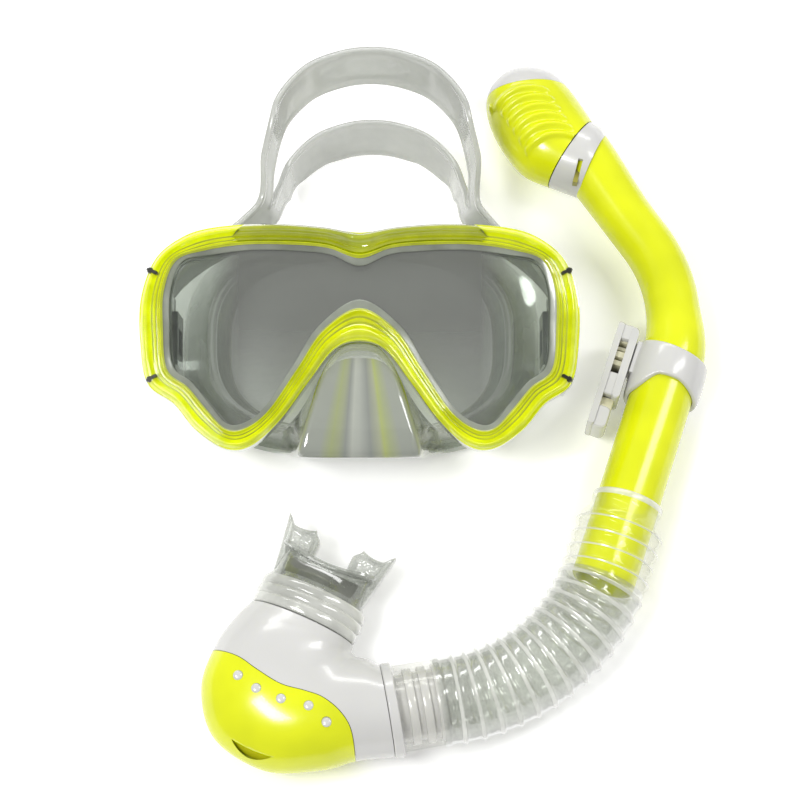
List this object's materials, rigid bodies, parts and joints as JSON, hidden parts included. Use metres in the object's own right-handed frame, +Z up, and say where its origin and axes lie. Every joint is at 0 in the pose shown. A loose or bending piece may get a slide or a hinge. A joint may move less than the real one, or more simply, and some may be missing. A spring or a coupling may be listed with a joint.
{
  "type": "diving mask and snorkel set",
  "caption": "Single-lens diving mask with a nose pocket and a split silicone head strap, and a dry-top snorkel with a flexible hose, purge chamber and bite mouthpiece.",
  "frame": {"origin": "on the table below the middle of the lens, with the mask lying on its face seal and the lens up", "axes": "+X towards the wearer's left, +Y towards the brow, +Z up out of the lens side"},
  "size_m": [0.2231, 0.2934, 0.0631],
  "materials": {
    "yellow_clear": "see-through lime",
    "yellow": "gloss",
    "lens": "polished",
    "clear_silicone": "see-through silicone",
    "smoke": "smoked",
    "steel": "satin",
    "white": "gloss"
  },
  "bodies": {
    "mask": {"front_bezel": "yellow_clear", "rear_frame": "yellow_clear", "bezel_clips": "smoke", "lens": "lens", "silicone_skirt": "clear_silicone", "left_pivot_pin": "steel", "right_pivot_pin": "steel"},
    "left_buckle": {"left_buckle": "smoke", "left_strap_roller": "steel", "left_lever_pin": "steel"},
    "right_buckle": {"right_buckle": "smoke", "right_strap_roller": "steel", "right_lever_pin": "steel"},
    "left_lever": {"left_release_lever": "smoke"},
    "right_lever": {"right_release_lever": "smoke"},
    "strap": {"head_strap": "clear_silicone"},
    "snorkel": {"snorkel_tube": "yellow", "top_collar": "white", "float_cage": "white", "float_seal": "clear_silicone", "flex_hose": "clear_silicone"},
    "cap": {"splash_cap": "yellow", "cap_back": "white"},
    "float": {"float_valve": "white"},
    "keeper": {"keeper_ring": "white"},
    "clip": {"keeper_clip": "white"},
    "spigot": {"hose_spigot": "white"},
    "chamber": {"purge_housing": "white", "purge_cover": "yellow", "valve_seat": "white", "mouthpiece": "clear_silicone", "mouthpiece_clamp": "white"},
    "flap": {"purge_valve": "clear_silicone"}
  },
  "joints": [
    {"name": "left_buckle_swivel", "type": "hinge", "parent": "mask", "child": "left_buckle", "pos_m": [0.081, 0.00799, 0.02623], "axis": [1, 0, 0], "range_deg": [-4, 4]},
    {"name": "right_buckle_swivel", "type": "hinge", "parent": "mask", "child": "right_buckle", "pos_m": [-0.081, 0.00799, 0.02623], "axis": [1, 0, 0], "range_deg": [-4, 4]},
    {"name": "left_release", "type": "hinge", "parent": "left_buckle", "child": "left_lever", "pos_m": [0.0783, -0.0056, 0.02284], "axis": [0, -0.2419, 0.9703], "range_deg": [0, 15]},
    {"name": "right_release", "type": "hinge", "parent": "right_buckle", "child": "right_lever", "pos_m": [-0.0783, -0.0056, 0.02284], "axis": [0, 0.2419, -0.9703], "range_deg": [0, 15]},
    {"name": "strap_adjust", "type": "slide", "parent": "left_buckle", "child": "strap", "axis": [0, 0.9703, 0.2419], "range_m": [0, 0.01]},
    {"name": "snorkel_lift", "type": "slide", "parent": "mask", "child": "snorkel", "axis": [0, 0, 1], "range_m": [0, 0.12]},
    {"name": "cap_off", "type": "slide", "parent": "snorkel", "child": "cap", "axis": [-0.7071, 0.7071, 0], "range_m": [0, 0.06]},
    {"name": "float_rise", "type": "slide", "parent": "snorkel", "child": "float", "axis": [-0.7071, 0.7071, 0], "range_m": [0, 0.005]},
    {"name": "keeper_turn", "type": "hinge", "parent": "snorkel", "child": "keeper", "pos_m": [0.12199, -0.00256, 0.0188], "axis": [-0.3173, -0.9483, 0], "range_deg": [-40, 40]},
    {"name": "keeper_release", "type": "slide", "parent": "keeper", "child": "clip", "axis": [-0.3173, -0.9483, 0], "range_m": [0, 0.022]},
    {"name": "hose_flex", "type": "hinge", "parent": "snorkel", "child": "spigot", "pos_m": [0.0726, -0.11696, 0.0188], "axis": [0, 0, 1], "range_deg": [-3, 40], "deforming": ["flex_hose"]},
    {"name": "chamber_swivel", "type": "hinge", "parent": "spigot", "child": "chamber", "pos_m": [0.01354, -0.13808, 0.0188], "axis": [-0.9848, -0.1736, 0], "range_deg": [-80, 15]},
    {"name": "purge_open", "type": "slide", "parent": "chamber", "child": "flap", "axis": [-0.829, -0.5592, 0], "range_m": [0, 0.0012]}
  ],
  "couplings": [
    {"joint": "right_buckle_swivel", "follows": "left_buckle_swivel", "ratio": 1}
  ]
}
